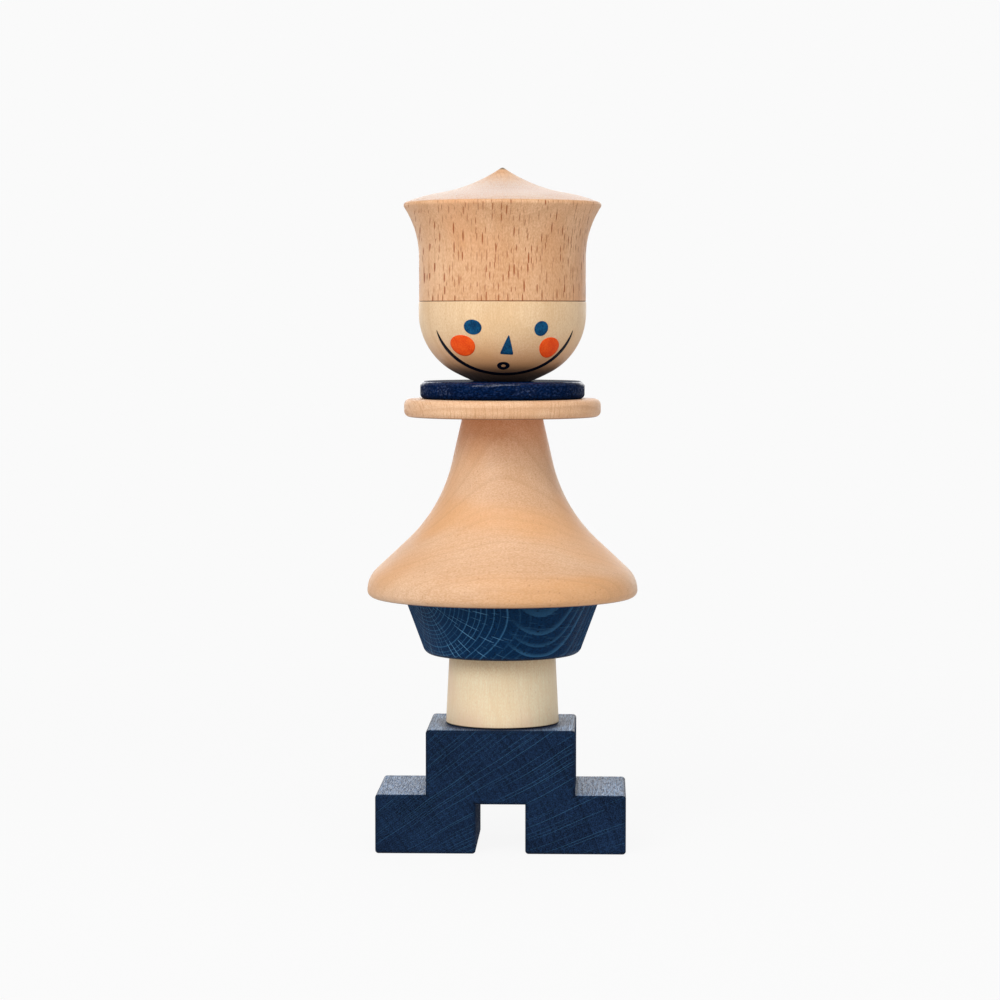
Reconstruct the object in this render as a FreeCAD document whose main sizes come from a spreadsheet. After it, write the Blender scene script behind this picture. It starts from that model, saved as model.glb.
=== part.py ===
"""Wooden stacking figure: eight turned and milled pieces held together by hidden magnets.

From the ground up: a stepped feet block, a leg cone, a hip bowl, a flared skirt, a shoulder disc,
a collar disc, a round head and a pointed hat. A loose disc magnet lies in a stepped pocket under
each joint face, and a glued wooden plug closes the pocket flush with that face.

The origin is on the ground, on the axis of the stack, with +Z up and the face looking to -Y.
Each piece is drawn with its own underside at height 0 and is lifted to its place in the stack.
"""

import FreeCAD
import Part
import Sketcher
import os

from collections import namedtuple
from FreeCAD import Vector

# Driving dimensions in millimetres: alias, value, what it is.
DIMENSIONS = [
    ("feet_width", 60.5, "feet block across both feet"),
    ("feet_depth", 31.6, "feet block front to back"),
    ("feet_height", 30.0, "feet block, ground to top"),
    ("toe_height", 14.3, "height of the low steps"),
    ("toe_length", 12.25, "how far each low step stands out"),
    ("arch_width", 12.0, "gap between the feet"),
    ("arch_height", 12.0, "height of that gap"),
    ("feet_edge_round", 0.8, "eased edges of the block"),
    ("leg_foot_radius", 13.85, "leg cone at its underside"),
    ("leg_top_radius", 13.0, "leg cone at its top"),
    ("leg_height", 17.0, "leg cone"),
    ("leg_edge_round", 0.35, "eased edges of the leg cone"),
    ("hip_foot_radius", 18.8, "hip bowl at its underside"),
    ("hip_top_radius", 24.0, "hip bowl at its top"),
    ("hip_height", 14.0, "hip bowl"),
    ("hip_foot_round", 2.3, "rounded lower edge of the hip bowl"),
    ("hip_top_round", 0.4, "eased upper edge of the hip bowl"),
    ("skirt_height", 44.0, "skirt"),
    ("skirt_neck_radius", 9.8, "skirt at its top"),
    ("skirt_waist_radius", 12.3, "end of the conical neck"),
    ("skirt_waist_height", 33.0, "height of that place"),
    ("skirt_flare_round", 37.5, "hollow arc below the neck"),
    ("skirt_rim_round", 7.0, "arc from the flare down to the rim"),
    ("skirt_rim_radius", 33.05, "widest point of the skirt"),
    ("skirt_rim_height", 1.7, "height of the widest point"),
    ("skirt_neck_round", 0.3, "eased edge of the neck"),
    ("shoulder_radius", 24.0, "shoulder disc"),
    ("shoulder_height", 4.4, "shoulder disc"),
    ("shoulder_edge_round", 1.5, "rounded edges of the shoulder disc"),
    ("collar_radius", 20.05, "collar disc"),
    ("collar_height", 4.3, "collar disc"),
    ("collar_edge_round", 1.2, "rounded edges of the collar disc"),
    ("head_seat_radius", 7.0, "flat the head stands on"),
    ("head_chin_round", 43.5, "arc of the head's underside"),
    ("head_cheek_round", 16.5, "arc of the head's side"),
    ("head_radius", 20.4, "head at its widest"),
    ("head_side_height", 16.7, "where the side turns upright"),
    ("head_height", 19.3, "head"),
    ("head_top_round", 0.25, "eased upper edge of the head"),
    ("hat_foot_radius", 20.3, "hat where it meets the head"),
    ("hat_wall_height", 10.8, "upright part of the hat"),
    ("hat_brim_radius", 24.45, "hat at its brim, before it is eased"),
    ("hat_brim_height", 23.7, "height of the brim"),
    ("hat_brow_round", 38.8, "arc in from the brim"),
    ("hat_hollow_radius", 15.5, "where the roof turns hollow"),
    ("hat_hollow_round", 38.2, "hollow arc up to the tip"),
    ("hat_tip_round", 0.8, "tip"),
    ("hat_height", 32.5, "hat"),
    ("hat_brim_edge_round", 0.8, "eased brim"),
    ("hat_foot_round", 0.25, "eased lower edge of the hat"),
    ("magnet_radius", 5.0, "disc magnet"),
    ("magnet_height", 2.0, "disc magnet"),
    ("magnet_edge_round", 0.2, "rounded edges of the magnet"),
    ("magnet_play", 0.1, "room beside the magnet and over it"),
    ("plug_radius", 6.0, "seat of the wooden plug"),
    ("plug_height", 1.2, "wooden plug"),
    ("plug_glue_gap", 0.02, "glue line around the plug"),
    ("plug_chamfer", 0.15, "broken outer edge of the plug"),
]

# One piece of the stack. joint_faces says which of its two ends has a magnet under it.
Piece = namedtuple("Piece", "label prefix height joint_faces")

# An arc of an outline. It runs round its centre anticlockwise if left is true. A radius or a corner
# coordinate given as a Size is held, and one given as a plain number is only where solving starts.
Arc = namedtuple("Arc", "radius left on_axis", defaults=[False])

ROOT_POINT = (-1, 1)
ACROSS_AXIS = -1
UP_AXIS = -2
ARC_CENTRE = 3
TOLERANCE = 1e-4
FULL_TURN = 360.0

# The corners between two tangent arcs follow from those arcs. Solving starts at these shares of the
# lengths around them.
HEM_FOOT_START = (0.33, 0.67)
HEM_TOP_START = 0.33
CHEEK_START = (0.75, 0.33)
HOLLOW_START = 0.33
TIP_START = (0.5, 0.25)

doc = FreeCAD.newDocument("StackingFigure")


class Size:
    """A length that carries its present value and the spreadsheet expression it comes from."""

    def __init__(self, value, text):
        self.value = value
        self.text = text

    def _join(self, other, sign, value):
        return Size(value, f"({self.text} {sign} {other.text})")

    def __add__(self, other):
        return self._join(other, "+", self.value + other.value)

    def __sub__(self, other):
        return self._join(other, "-", self.value - other.value)

    def __neg__(self):
        return Size(-self.value, f"(-{self.text})")

    def half(self):
        return Size(self.value / 2, f"({self.text} / 2)")


ZERO = Size(0.0, "0 mm")
D = {alias: Size(value, f"Dims.{alias} * 1 mm") for alias, value, _ in DIMENSIONS}


# ------------------------------------------------------------------ spreadsheet, sketches, features


def make_sheet():
    """The spreadsheet with the driving dimensions."""
    sheet = doc.addObject("Spreadsheet::Sheet", "Dims")
    for row, (alias, value, note) in enumerate(DIMENSIONS, start=1):
        sheet.set(f"A{row}", note)
        sheet.set(f"B{row}", str(value))
        sheet.setAlias(f"B{row}", alias)
    doc.recompute()


def new_body(label, lift):
    """An empty body whose underside is lifted to its place in the stack."""
    body = doc.addObject("PartDesign::Body", label)
    body.Label = label
    body.setExpression("Placement.Base.z", lift.text)
    return body


def front_sketch(body, name):
    """A sketch on the body's own upright plane, with the axis of the stack as its vertical axis."""
    sketch = body.newObject("Sketcher::SketchObject", f"{body.Label}_{name}")
    plane = next(f for f in body.Origin.OriginFeatures if f.Role == "XZ_Plane")
    sketch.AttachmentSupport = [(plane, "")]
    sketch.MapMode = "FlatFace"
    return sketch


def hold(sketch, size, kind, *where):
    """Adds a driving constraint bound to the spreadsheet."""
    index = sketch.addConstraint(Sketcher.Constraint(kind, *where, size.value))
    sketch.setExpression(f"Constraints[{index}]", size.text)


def hold_point(sketch, point, corner):
    """Holds each coordinate of a corner that is given as a Size."""
    for coordinate, kind, axis in zip(corner, ("DistanceX", "DistanceY"), (UP_AXIS, ACROSS_AXIS)):
        if coordinate is ZERO:
            sketch.addConstraint(Sketcher.Constraint("PointOnObject", *point, axis))
        elif isinstance(coordinate, Size):
            hold(sketch, coordinate, kind, *ROOT_POINT, *point)


def value_of(length):
    """The number behind a Size or a plain number."""
    return length.value if isinstance(length, Size) else length


def arc_through(start, end, arc):
    """The circular arc from start to end with the radius and the side that arc asks for."""
    radius = value_of(arc.radius)
    chord = end - start
    to_left = Vector(-chord.y, chord.x, 0).normalize()
    sagitta = radius - (radius**2 - (chord.Length / 2) ** 2) ** 0.5
    middle = (start + end) / 2 - to_left * (sagitta if arc.left else -sagitta)
    return Part.Arc(start, middle, end)


def draw_outline(sketch, corners, arcs=None, smooth=()):
    """Draws and constrains a closed outline.

    Edge i runs from corner i to the next corner. It is straight unless arcs[i] gives an Arc.
    The outline has no kink at the corners listed in smooth.
    """
    arcs = arcs or {}
    count = len(corners)
    points = [Vector(value_of(x), value_of(y), 0) for x, y in corners]
    ends = []
    for i, start in enumerate(points):
        end = points[(i + 1) % count]
        if i not in arcs:
            edge = sketch.addGeometry(Part.LineSegment(start, end), False)
        else:
            edge = sketch.addGeometry(arc_through(start, end, arcs[i]), False)
        runs_forward = i not in arcs or arcs[i].left
        ends.append([(edge, 1), (edge, 2)] if runs_forward else [(edge, 2), (edge, 1)])
    for i, corner in enumerate(corners):
        joint = "Tangent" if i in smooth else "Coincident"
        sketch.addConstraint(Sketcher.Constraint(joint, *ends[i - 1][1], *ends[i][0]))
        hold_point(sketch, ends[i][0], corner)
    for i, arc in arcs.items():
        edge = ends[i][0][0]
        if isinstance(arc.radius, Size):
            hold(sketch, arc.radius, "Radius", edge)
        if arc.on_axis:
            sketch.addConstraint(Sketcher.Constraint("PointOnObject", edge, ARC_CENTRE, UP_AXIS))


def turn(body, name, feature, corners, arcs=None, smooth=()):
    """Turns an outline right round the axis, as a PartDesign Revolution or Groove."""
    sketch = front_sketch(body, f"{name}_outline")
    draw_outline(sketch, corners, arcs, smooth)
    turned = body.newObject(f"PartDesign::{feature}", f"{body.Label}_{name}")
    turned.Profile = sketch
    turned.ReferenceAxis = (sketch, ["V_Axis"])
    turned.Angle = FULL_TURN
    doc.recompute()
    return turned


def ease(body, name, size, chosen, feature="Fillet"):
    """Rounds or chamfers the edges of the body for which chosen(edge) is true."""
    base = body.Tip
    names = [f"Edge{i}" for i, edge in enumerate(base.Shape.Edges, start=1) if chosen(edge)]
    eased = body.newObject(f"PartDesign::{feature}", f"{body.Label}_{name}")
    eased.Base = (base, names)
    eased.setExpression("Radius" if feature == "Fillet" else "Size", size.text)
    doc.recompute()


def rim_at(height):
    """Chooses the round edges at one height of a body that isn't lifted yet."""

    def chosen(edge):
        box = edge.BoundBox
        level = abs(box.ZMin - height.value) < TOLERANCE and abs(box.ZMax - height.value) < TOLERANCE
        return level and isinstance(edge.Curve, Part.Circle)

    return chosen


# ------------------------------------------------------------------------------- the wooden pieces


def straight_turning(body, foot_radius, top_radius, height):
    """A plain cone or disc between two radii."""
    corners = [(ZERO, ZERO), (foot_radius, ZERO), (top_radius, height), (ZERO, height)]
    turn(body, "turning", "Revolution", corners)


def shape_feet(body):
    """A stepped block: a toe stands out on either side, and an arch is cut between the feet."""
    side = D["feet_width"].half()
    step = side - D["toe_length"]
    arch = D["arch_width"].half()
    right_half = [
        (arch, D["arch_height"]),
        (arch, ZERO),
        (side, ZERO),
        (side, D["toe_height"]),
        (step, D["toe_height"]),
        (step, D["feet_height"]),
    ]
    left_half = [(-x, z) for x, z in reversed(right_half)]
    sketch = front_sketch(body, "silhouette")
    draw_outline(sketch, right_half + left_half)
    pad = body.newObject("PartDesign::Pad", "feet_block_pad")
    pad.Profile = sketch
    pad.SideType = "Symmetric"
    pad.setExpression("Length", D["feet_depth"].text)
    doc.recompute()

    inner_corners = [(step, D["toe_height"]), (arch, D["arch_height"])]

    def is_outer(edge):
        centre = edge.BoundBox.Center
        return not any(
            abs(abs(centre.x) - x.value) < TOLERANCE and abs(centre.z - z.value) < TOLERANCE
            for x, z in inner_corners
        )

    ease(body, "eased_edges", D["feet_edge_round"], is_outer)


def shape_leg(body):
    """A cone that tapers slightly towards its top."""
    straight_turning(body, D["leg_foot_radius"], D["leg_top_radius"], D["leg_height"])
    rims = (rim_at(ZERO), rim_at(D["leg_height"]))
    ease(body, "eased_rims", D["leg_edge_round"], lambda edge: any(rim(edge) for rim in rims))


def shape_hip(body):
    """A bowl that widens upwards, with a rounded lower edge."""
    straight_turning(body, D["hip_foot_radius"], D["hip_top_radius"], D["hip_height"])
    ease(body, "eased_foot", D["hip_foot_round"], rim_at(ZERO))
    ease(body, "eased_top", D["hip_top_round"], rim_at(D["hip_height"]))


def shape_skirt(body):
    """A bell: conical neck, hollow flare, sloping hem, rounded rim and a flat underside."""
    rim_radius, rim_height, rim_round = D["skirt_rim_radius"], D["skirt_rim_height"], D["skirt_rim_round"]
    waist = Vector(D["skirt_waist_radius"].value, D["skirt_waist_height"].value, 0)
    inward, upward = HEM_FOOT_START
    hem_foot = Vector(rim_radius.value, rim_height.value, 0) + Vector(-inward, upward, 0) * rim_round.value
    hem_top = hem_foot + (waist - hem_foot) * HEM_TOP_START
    corners = [
        (ZERO, ZERO),
        (rim_radius - rim_height, ZERO),
        (rim_radius, rim_height),
        (hem_foot.x, hem_foot.y),
        (hem_top.x, hem_top.y),
        (D["skirt_waist_radius"], D["skirt_waist_height"]),
        (D["skirt_neck_radius"], D["skirt_height"]),
        (ZERO, D["skirt_height"]),
    ]
    arcs = {1: Arc(rim_height, True), 2: Arc(rim_round, True), 4: Arc(D["skirt_flare_round"], False)}
    turn(body, "turning", "Revolution", corners, arcs, smooth=(2, 3, 4, 5))
    ease(body, "eased_neck", D["skirt_neck_round"], rim_at(D["skirt_height"]))


def shape_disc(body, radius, height, edge_round):
    """A disc with both rims rounded."""
    straight_turning(body, radius, radius, height)
    rims = (rim_at(ZERO), rim_at(height))
    ease(body, "rounded_rims", edge_round, lambda edge: any(rim(edge) for rim in rims))


def shape_shoulder(body):
    shape_disc(body, D["shoulder_radius"], D["shoulder_height"], D["shoulder_edge_round"])


def shape_collar(body):
    shape_disc(body, D["collar_radius"], D["collar_height"], D["collar_edge_round"])


def shape_head(body):
    """A rounded bowl shape that stands on a small flat and ends in a short upright wall."""
    radius, side_height, height = D["head_radius"], D["head_side_height"], D["head_height"]
    outward, upward = CHEEK_START
    corners = [
        (ZERO, ZERO),
        (D["head_seat_radius"], ZERO),
        (outward * radius.value, upward * side_height.value),
        (radius, side_height),
        (radius, height),
        (ZERO, height),
    ]
    arcs = {1: Arc(D["head_chin_round"], True), 2: Arc(D["head_cheek_round"], True)}
    turn(body, "turning", "Revolution", corners, arcs, smooth=(2, 3))
    ease(body, "eased_top", D["head_top_round"], rim_at(height))


def shape_hat(body):
    """An upright wall that flares to a brim, under a pointed roof that turns from round to hollow."""
    foot_radius, wall_height = D["hat_foot_radius"], D["hat_wall_height"]
    brim_radius, brim_height = D["hat_brim_radius"], D["hat_brim_height"]
    tip, height = D["hat_tip_round"], D["hat_height"]
    hollow_height = brim_height.value + HOLLOW_START * (height.value - brim_height.value)
    outward, downward = TIP_START
    corners = [
        (ZERO, ZERO),
        (foot_radius, ZERO),
        (foot_radius, wall_height),
        (brim_radius, brim_height),
        (D["hat_hollow_radius"], hollow_height),
        (outward * tip.value, height.value - downward * tip.value),
        (ZERO, height),
    ]
    arcs = {
        2: Arc(brim_height.value, False),
        3: Arc(D["hat_brow_round"], True),
        4: Arc(D["hat_hollow_round"], False),
        5: Arc(tip, True, on_axis=True),
    }
    turn(body, "turning", "Revolution", corners, arcs, smooth=(2, 4, 5))
    ease(body, "eased_brim", D["hat_brim_edge_round"], rim_at(brim_height))
    ease(body, "eased_foot", D["hat_foot_round"], rim_at(ZERO))


# -------------------------------------------------------------------- magnets, plugs and pockets


def make_magnet(label, lift):
    """A nickel-plated disc magnet."""
    body = new_body(label, lift)
    shape_disc(body, D["magnet_radius"], D["magnet_height"], D["magnet_edge_round"])
    return body


def make_plug(label, lift, outer_end):
    """A thin wooden plug. Its outer end shows in the joint face and has a broken edge."""
    body = new_body(label, lift)
    radius = D["plug_radius"] - D["plug_glue_gap"]
    straight_turning(body, radius, radius, D["plug_height"])
    ease(body, "broken_edge", D["plug_chamfer"], rim_at(outer_end), feature="Chamfer")
    return body


def cut_pocket(body, face, height):
    """Cuts the stepped pocket under a joint face: a wide seat for the plug, then the magnet's bore."""
    seat, bore = D["plug_radius"], D["magnet_radius"] + D["magnet_play"]
    ledge_depth = D["plug_height"]
    floor_depth = ledge_depth + D["magnet_height"] + D["magnet_play"]
    if face == "lower":
        mouth, ledge, floor = ZERO, ledge_depth, floor_depth
    else:
        mouth, ledge, floor = height, height - ledge_depth, height - floor_depth
    corners = [(ZERO, mouth), (seat, mouth), (seat, ledge), (bore, ledge), (bore, floor), (ZERO, floor)]
    volume_before = body.Shape.Volume
    turn(body, f"{face}_pocket", "Groove", corners)
    if body.Shape.Volume > volume_before - TOLERANCE:
        raise RuntimeError(f"{body.Label}: the {face} pocket cut nothing")


def fill_pocket(piece, face, lift):
    """The magnet and the plug in one pocket. The magnet lies against the plug."""
    plug, magnet = D["plug_height"], D["magnet_height"]
    if face == "lower":
        plug_lift, magnet_lift, outer_end = lift, lift + plug, ZERO
    else:
        top = lift + piece.height
        plug_lift, magnet_lift, outer_end = top - plug, top - plug - magnet, plug
    return [
        make_magnet(f"{piece.prefix}_{face}_magnet", magnet_lift),
        make_plug(f"{piece.prefix}_{face}_plug", plug_lift, outer_end),
    ]


# --------------------------------------------------------------------------- the stack, the files

STACK = [
    (Piece("feet_block", "feet", D["feet_height"], ["upper"]), shape_feet),
    (Piece("leg_cone", "leg", D["leg_height"], ["lower", "upper"]), shape_leg),
    (Piece("hip_bowl", "hip", D["hip_height"], ["lower", "upper"]), shape_hip),
    (Piece("skirt", "skirt", D["skirt_height"], ["lower", "upper"]), shape_skirt),
    (Piece("shoulder_disc", "shoulder", D["shoulder_height"], ["lower"]), shape_shoulder),
    (Piece("collar_disc", "collar", D["collar_height"], ["lower"]), shape_collar),
    (Piece("head", "head", D["head_height"], ["lower", "upper"]), shape_head),
    (Piece("hat", "hat", D["hat_height"], ["lower"]), shape_hat),
]


def make_piece(piece, shape_wood, lift):
    """One wooden piece with its pockets, and the magnets and plugs that fill them."""
    wood = new_body(piece.label, ZERO)
    shape_wood(wood)
    for face in piece.joint_faces:
        cut_pocket(wood, face, piece.height)
    wood.setExpression("Placement.Base.z", lift.text)
    sub_parts = [wood]
    for face in piece.joint_faces:
        sub_parts += fill_pocket(piece, face, lift)
    return sub_parts


def make_stack():
    """Every sub-part, from the ground up."""
    sub_parts = []
    lift = ZERO
    for piece, shape_wood in STACK:
        sub_parts += make_piece(piece, shape_wood, lift)
        lift = lift + piece.height
    doc.recompute()
    return sub_parts


def check(sub_parts):
    """Stops if a feature failed, a sketch is loose or a sub-part isn't one valid solid."""
    for item in doc.Objects:
        if {"Invalid", "Error"} & set(item.State):
            raise RuntimeError(f"{item.Label} failed: {item.State}")
        if item.TypeId == "Sketcher::SketchObject" and not item.FullyConstrained:
            raise RuntimeError(f"{item.Label} isn't fully constrained")
    for part in sub_parts:
        shape = part.Shape
        if shape.isNull() or not shape.isValid() or len(shape.Solids) != 1:
            raise RuntimeError(f"{part.Label} isn't one valid solid")


def write_parts(sub_parts, folder="parts"):
    """One STEP file for each sub-part, named after its label."""
    os.makedirs(folder, exist_ok=True)
    for part in sub_parts:
        part.Shape.exportStep(os.path.join(folder, f"{part.Label}.step"))


make_sheet()
finished_parts = make_stack()
check(finished_parts)
write_parts(finished_parts)
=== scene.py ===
"""The looks of the wooden stacking figure: grain, stain, lacquer, the printed face, light and camera.

The turned and milled pieces are the CAD nodes themselves. Each gets wood that is worked out in three
dimensions from how the piece was cut out of the tree, so that rings, rays and pores meet at its edges.
The face is printed on the head as thin ink films. Lengths named _MM are in millimetres.
"""

import math
from collections import namedtuple
from dataclasses import dataclass, replace

import bmesh
import bpy
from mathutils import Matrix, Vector
from mathutils.bvhtree import BVHTree


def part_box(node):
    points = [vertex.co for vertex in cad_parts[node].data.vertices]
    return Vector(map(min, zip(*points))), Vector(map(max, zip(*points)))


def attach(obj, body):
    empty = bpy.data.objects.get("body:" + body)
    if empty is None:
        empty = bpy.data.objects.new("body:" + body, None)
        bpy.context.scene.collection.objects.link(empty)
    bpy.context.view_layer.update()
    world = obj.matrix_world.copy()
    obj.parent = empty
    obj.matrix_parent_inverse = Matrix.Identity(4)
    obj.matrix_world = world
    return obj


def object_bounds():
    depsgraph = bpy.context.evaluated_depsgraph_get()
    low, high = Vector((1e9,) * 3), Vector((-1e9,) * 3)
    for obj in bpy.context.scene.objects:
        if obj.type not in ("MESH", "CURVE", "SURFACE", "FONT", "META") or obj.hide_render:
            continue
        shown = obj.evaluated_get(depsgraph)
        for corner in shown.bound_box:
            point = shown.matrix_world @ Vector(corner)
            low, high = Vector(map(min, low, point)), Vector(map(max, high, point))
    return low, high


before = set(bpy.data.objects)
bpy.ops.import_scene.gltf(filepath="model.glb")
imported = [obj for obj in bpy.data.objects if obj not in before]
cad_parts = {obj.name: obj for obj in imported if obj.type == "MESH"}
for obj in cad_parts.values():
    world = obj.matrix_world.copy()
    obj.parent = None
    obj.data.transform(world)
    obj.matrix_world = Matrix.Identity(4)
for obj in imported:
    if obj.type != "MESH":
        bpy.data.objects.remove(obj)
cad_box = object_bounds()

MM = 0.001


# ------------------------------------------------------------------------------------ node building


def srgb(red, green, blue):
    """A colour given as 0 to 255 screen values, as the linear colour that shaders work with."""
    def linear(level):
        level /= 255
        return level / 12.92 if level <= 0.04045 else ((level + 0.055) / 1.055) ** 2.4
    return (linear(red), linear(green), linear(blue), 1.0)


class Nodes:
    """Builds the node tree of a material or world. An argument is a plain value or a node's output."""

    def __init__(self, owner):
        self.owner = owner
        owner.use_nodes = True
        self.tree = owner.node_tree
        self.tree.nodes.clear()

    def put(self, value, socket):
        if isinstance(value, bpy.types.NodeSocket):
            self.tree.links.new(value, socket)
        else:
            socket.default_value = value

    def add(self, kind, inputs=(), **settings):
        """A node of one kind. inputs maps input names or numbers to values."""
        node = self.tree.nodes.new(kind)
        for name, value in settings.items():
            setattr(node, name, value)
        for key, value in dict(inputs).items():
            self.put(value, node.inputs[key])
        return node

    def math(self, operation, *values, clamp=False):
        return self.add("ShaderNodeMath", enumerate(values), operation=operation, use_clamp=clamp).outputs[0]

    def times(self, first, *others):
        """The product of its arguments."""
        for other in others:
            first = self.math("MULTIPLY", first, other)
        return first

    def between(self, share, low, high):
        """low where share is 0, high where it is 1."""
        return self.math("ADD", self.times(share, high - low), low)

    def vector_math(self, operation, *values):
        node = self.add("ShaderNodeVectorMath", enumerate(values), operation=operation)
        return node.outputs["Value" if operation in ("DOT_PRODUCT", "LENGTH") else "Vector"]

    def combine(self, x, y, z):
        return self.add("ShaderNodeCombineXYZ", enumerate((x, y, z))).outputs[0]

    def separate(self, vector):
        return self.add("ShaderNodeSeparateXYZ", {0: vector}).outputs

    def mix(self, factor, first, second, blend="MIX"):
        """Mixes two colours."""
        node = self.add("ShaderNodeMix", data_type="RGBA", blend_type=blend)
        for name, value in (("Factor_Float", factor), ("A_Color", first), ("B_Color", second)):
            self.put(value, next(s for s in node.inputs if s.identifier == name))
        return next(s for s in node.outputs if s.identifier == "Result_Color")

    def step(self, value, low, high):
        """0 below low, 1 above high and a smooth rise between them. low may be above high."""
        inputs = {"Value": value, "From Min": low, "From Max": high}
        return self.add("ShaderNodeMapRange", inputs, interpolation_type="SMOOTHSTEP").outputs[0]

    def noise(self, vector, detail=2.0, scale=1.0, colour=False):
        node = self.add("ShaderNodeTexNoise", {"Vector": vector, "Scale": scale, "Detail": detail})
        return node.outputs["Color" if colour else "Fac"]

    def bump(self, height, depth_mm):
        """The normal of a surface with a relief of a depth, where height goes from 0 to 1."""
        inputs = {"Height": height, "Distance": depth_mm * MM, "Strength": 1.0}
        return self.add("ShaderNodeBump", inputs).outputs[0]

    def finish(self, **surface):
        """Ends the tree with one Principled shader. An input's name has _ for each of its spaces."""
        names = {key.replace("_", " "): value for key, value in surface.items()}
        shader = self.add("ShaderNodeBsdfPrincipled", names)
        output = self.add("ShaderNodeOutputMaterial")
        self.tree.links.new(shader.outputs[0], output.inputs["Surface"])
        return self.owner


# --------------------------------------------------------------------------------------------- wood

BLACK, WHITE = (0.0, 0.0, 0.0, 1.0), (1.0, 1.0, 1.0, 1.0)


@dataclass(frozen=True)
class Wood:
    """A kind of wood with its finish. Sizes are in millimetres, strengths from 0 to 1.

    Sizes and spacings of rays and pores go round the tree, along the grain and out from the pith.
    """

    pale: tuple
    deep: tuple
    ring_colour: tuple
    ray_colour: tuple
    pore_colour: tuple
    warm_colour: tuple = WHITE  # in broad clouds
    warm_strength: float = 0.0
    top_highlight_colour: tuple = WHITE  # painted highlight where the piece faces up
    top_highlight_strength: float = 0.0
    top_highlight_evenness: float = 0.5
    top_shadow_reach: float = 0.0  # how far from the axis a painted shadow of the piece above keeps the painted highlight off
    tip_colour: tuple = BLACK  # where fingers rub the point
    tip_strength: float = 0.0
    tip_size: float = 1.0
    under_shade_colour: tuple = BLACK  # painted shade where the piece faces down
    under_shade_strength: float = 0.0
    seam_shade_colour: tuple = BLACK  # painted shade beside the flat that rests on the piece below
    seam_shade_strength: float = 0.0
    seam_shade_reach: tuple = (-0.6, -0.97)  # facing down so far, the painted shade begins and is at its full
    foot_shade_line: float = 0.0  # how strongly the same painted shade marks the wall over the piece below
    foot_shade_height: float = 1.0
    neck_shade_colour: tuple = BLACK  # painted shade under the overhang of the piece above
    neck_shade_strength: float = 0.0
    neck_shade_depth: float = 1.0
    edge_colour: tuple = BLACK  # where the surface turns over an edge
    edge_strength: float = 0.0
    edge_reach: float = 0.5
    ring_gap: float = 2.6
    ring_strength: float = 0.25
    ring_start: float = 0.55  # the share of a year's growth that comes before its dark line
    side_rays: float = 0.85  # how strongly rays show where the surface runs along the grain
    end_rays: float = 0.25  # and where it cuts across the grain
    ray_size: tuple = (0.15, 1.05, 6.0)
    ray_spacing: tuple = (0.95, 2.4, 10.0)
    pore_strength: float = 0.4
    pore_size: tuple = (0.05, 0.5, 0.05)
    pore_spacing: tuple = (0.26, 1.6, 0.3)
    speck_size: tuple = (0.26, 0.7)  # across the grain and along it
    speck_strength: float = 0.5
    streak_strength: float = 0.45
    wobble: float = 2.0
    roughness: float = 0.5
    sawn_roughness: float = 0.0  # more of it where the saw cut the faces to the left and right
    specular: float = 0.4
    coat: float = 0.0
    coat_roughness: float = 0.25
    sheen: float = 0.08
    sheen_tint: tuple = WHITE
    relief: float = 0.03


# How a piece was cut from the tree: the direction of its grain, the direction out from the tree's
# middle to the piece, and the distance from the one to the other.
Cut = namedtuple("Cut", "grain outward pith_distance_mm")
# What shows in the wood: each is a value from 0 to 1 at every point.
Figure = namedtuple("Figure", "rings rays pores fibre speck clouds glow")
# Where a point is on its piece: how far it faces up (from -1 to 1) and sideways (from 0 to 1), and its
# distances from the axis of the stack, over the bottom of the piece and under its top.
Spot = namedtuple("Spot", "faces_up faces_sideways off_axis over_bottom under_top")

LEAST_BEND_RADIUS_MM = 12.0  # near the pith, rays are spaced as if they were this far out
FLOW_ALONG_GRAIN = 0.2  # the grain bends this much more slowly along its length than across it
BEND_NOISE_SCALE = 0.045  # bends per mm across the grain
YEAR_VARIATION, YEAR_NOISE_SCALE = 1.1, 0.45  # how much the width of the years varies, how quickly
RING_FULL, RING_ENDS = 0.93, 0.95  # the shares of a year between which its line is darkest
FAINTEST_YEAR, FAINTEST_SPINDLE = 0.3, 0.3
SPINDLE_JITTER = 0.8
SPINDLE_SIZES = (0.45, 1.35)  # from the smallest to the largest, as shares of the full size
SPINDLE_CORE = 0.45  # the share of a spindle inside its soft edge
RAY_SHARE, PORE_SHARE = 0.92, 0.75  # the share of places that hold one
# Widths across the grain and lengths along it, in mm.
FIBRE_SIZE, CLOUD_SIZE, GLOW_SIZE = (0.25, 5.0), (9.0, 30.0), (14.0, 20.0)
# The levels of the noise between which each of these goes from none to full.
SPECK_LEVELS, CLOUD_LEVELS, GLOW_LEVELS = (0.32, 0.68), (0.3, 0.7), (0.42, 0.66)
STREAK_LEVELS, FIBRE_LEVELS = (0.42, 0.7), (0.38, 0.62)
END_GRAIN_FACING = (0.4, 0.8)  # how squarely a surface cuts the grain, from side grain to end grain
# Where a second growth crosses: the stretch along the piece in which its own rings rise to their full
# strength, the same for the crossing rings, and how much wider, earlier and fainter those are.
OWN_RINGS_MM, CROSSING_RINGS_MM = (4, 14), (13, 6)
CROSSING_GAP, CROSSING_EARLIER, CROSSING_STRENGTH = 1.35, 0.2, 0.8
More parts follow.
